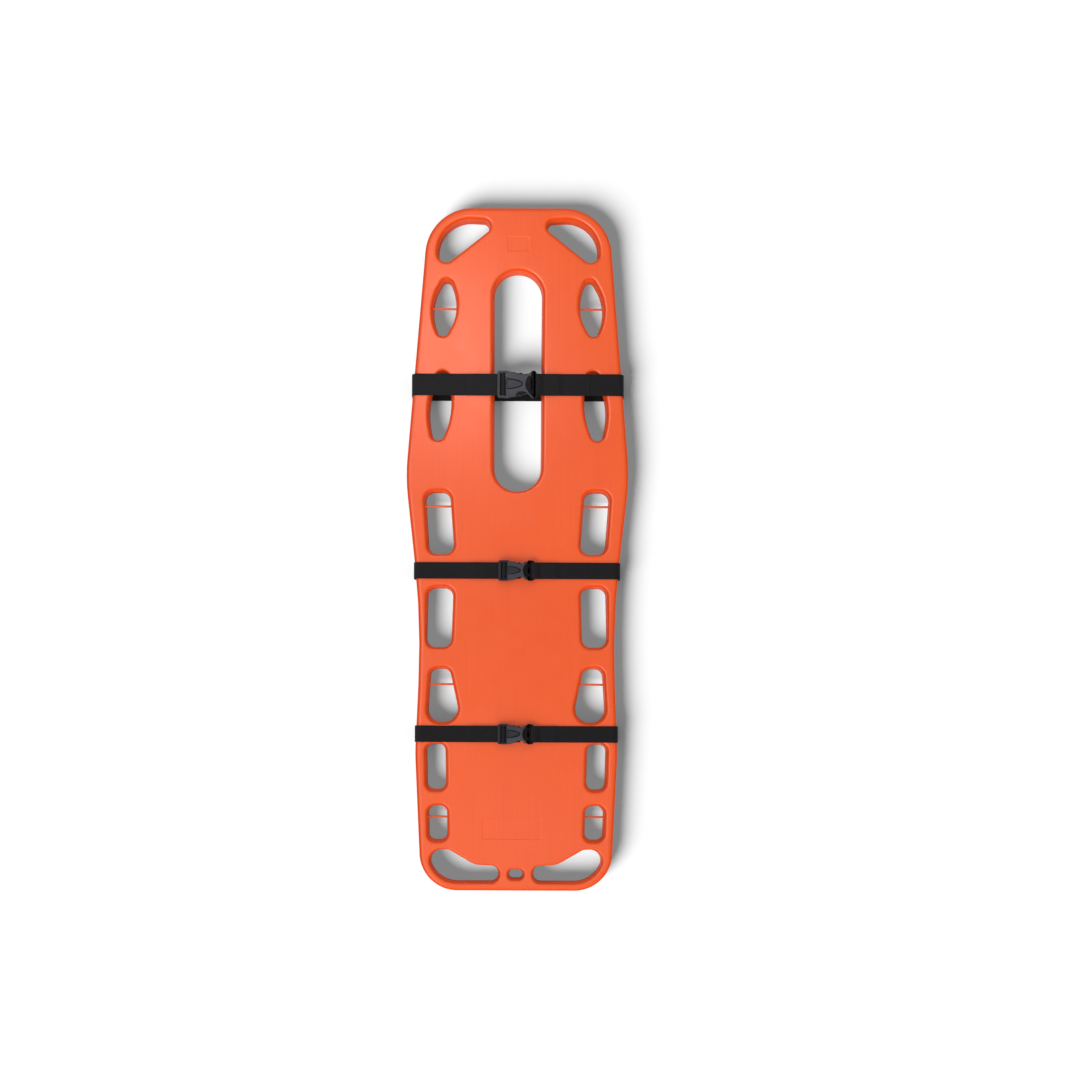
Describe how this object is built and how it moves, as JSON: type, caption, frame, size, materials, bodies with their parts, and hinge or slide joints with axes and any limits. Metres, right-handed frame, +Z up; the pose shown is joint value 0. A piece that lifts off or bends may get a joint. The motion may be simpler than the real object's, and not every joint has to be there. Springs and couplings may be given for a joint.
{
  "type": "spine board",
  "caption": "Tapered rescue spine board with rounded hand holds around its edge, a long head slot, moulded clip pins, and buckled web straps wrapped across the body.",
  "frame": {"origin": "centre of the board's outline, on the floor under its runners", "axes": "+Z up through the patient surface, +Y towards the head end, +X towards the right-hand side"},
  "size_m": [0.5126, 1.578, 0.0646],
  "materials": {
    "shell": "satin moulded polyethylene, orange",
    "shell_plugs": "welded polyethylene plug, orange",
    "clip_pins": "moulded rod, darker orange",
    "foam": "rigid closed-cell foam",
    "webbing": "woven black webbing",
    "receptacles": "satin dark grey moulded plastic",
    "plugs": "satin near-black moulded plastic"
  },
  "bodies": {
    "board": {"board_shell": "shell", "foam_core": "foam", "foam_port_plugs": "shell_plugs", "pin_shoulder_left": "clip_pins", "pin_shoulder_right": "clip_pins", "pin_elbow_left": "clip_pins", "pin_elbow_right": "clip_pins", "pin_thigh_left": "clip_pins", "pin_thigh_right": "clip_pins", "pin_shin_left": "clip_pins", "pin_shin_right": "clip_pins", "chest_web": "webbing", "chest_receptacle": "receptacles", "hip_web": "webbing", "hip_receptacle": "receptacles", "leg_web": "webbing", "leg_receptacle": "receptacles"},
    "chest_plug_body": {"chest_plug": "plugs", "chest_web_plug_side": "webbing"},
    "chest_arm_head_body": {"chest_arm_head": "plugs"},
    "chest_arm_foot_body": {"chest_arm_foot": "plugs"},
    "hip_plug_body": {"hip_plug": "plugs", "hip_web_plug_side": "webbing"},
    "hip_arm_head_body": {"hip_arm_head": "plugs"},
    "hip_arm_foot_body": {"hip_arm_foot": "plugs"},
    "leg_plug_body": {"leg_plug": "plugs", "leg_web_plug_side": "webbing"},
    "leg_arm_head_body": {"leg_arm_head": "plugs"},
    "leg_arm_foot_body": {"leg_arm_foot": "plugs"}
  },
  "joints": [
    {"name": "chest_buckle_slide", "type": "slide", "parent": "board", "child": "chest_plug_body", "axis": [1, 0, 0], "range_m": [0, 0.05], "deforming": ["chest_web_plug_side", "chest_arm_head", "chest_arm_foot"]},
    {"name": "chest_arm_head_flex", "type": "hinge", "parent": "chest_plug_body", "child": "chest_arm_head_body", "pos_m": [0.0273, 0.3977, 0.0572], "axis": [0, 0, 1], "range_deg": [0, 6], "stiffness_Nm_per_rad": 0.5},
    {"name": "chest_arm_foot_flex", "type": "hinge", "parent": "chest_plug_body", "child": "chest_arm_foot_body", "pos_m": [0.0273, 0.3603, 0.0572], "axis": [0, 0, -1], "range_deg": [0, 6], "stiffness_Nm_per_rad": 0.5},
    {"name": "hip_buckle_slide", "type": "slide", "parent": "board", "child": "hip_plug_body", "axis": [1, 0, 0], "range_m": [0, 0.05], "deforming": ["hip_web_plug_side", "hip_arm_head", "hip_arm_foot"]},
    {"name": "hip_arm_head_flex", "type": "hinge", "parent": "hip_plug_body", "child": "hip_arm_head_body", "pos_m": [0.0218, -0.0388, 0.0572], "axis": [0, 0, 1], "range_deg": [0, 6], "stiffness_Nm_per_rad": 0.5},
    {"name": "hip_arm_foot_flex", "type": "hinge", "parent": "hip_plug_body", "child": "hip_arm_foot_body", "pos_m": [0.0218, -0.0612, 0.0572], "axis": [0, 0, -1], "range_deg": [0, 6], "stiffness_Nm_per_rad": 0.5},
    {"name": "leg_buckle_slide", "type": "slide", "parent": "board", "child": "leg_plug_body", "axis": [1, 0, 0], "range_m": [0, 0.05], "deforming": ["leg_web_plug_side", "leg_arm_head", "leg_arm_foot"]},
    {"name": "leg_arm_head_flex", "type": "hinge", "parent": "leg_plug_body", "child": "leg_arm_head_body", "pos_m": [0.0218, -0.4158, 0.0572], "axis": [0, 0, 1], "range_deg": [0, 6], "stiffness_Nm_per_rad": 0.5},
    {"name": "leg_arm_foot_flex", "type": "hinge", "parent": "leg_plug_body", "child": "leg_arm_foot_body", "pos_m": [0.0218, -0.4382, 0.0572], "axis": [0, 0, -1], "range_deg": [0, 6], "stiffness_Nm_per_rad": 0.5}
  ]
}
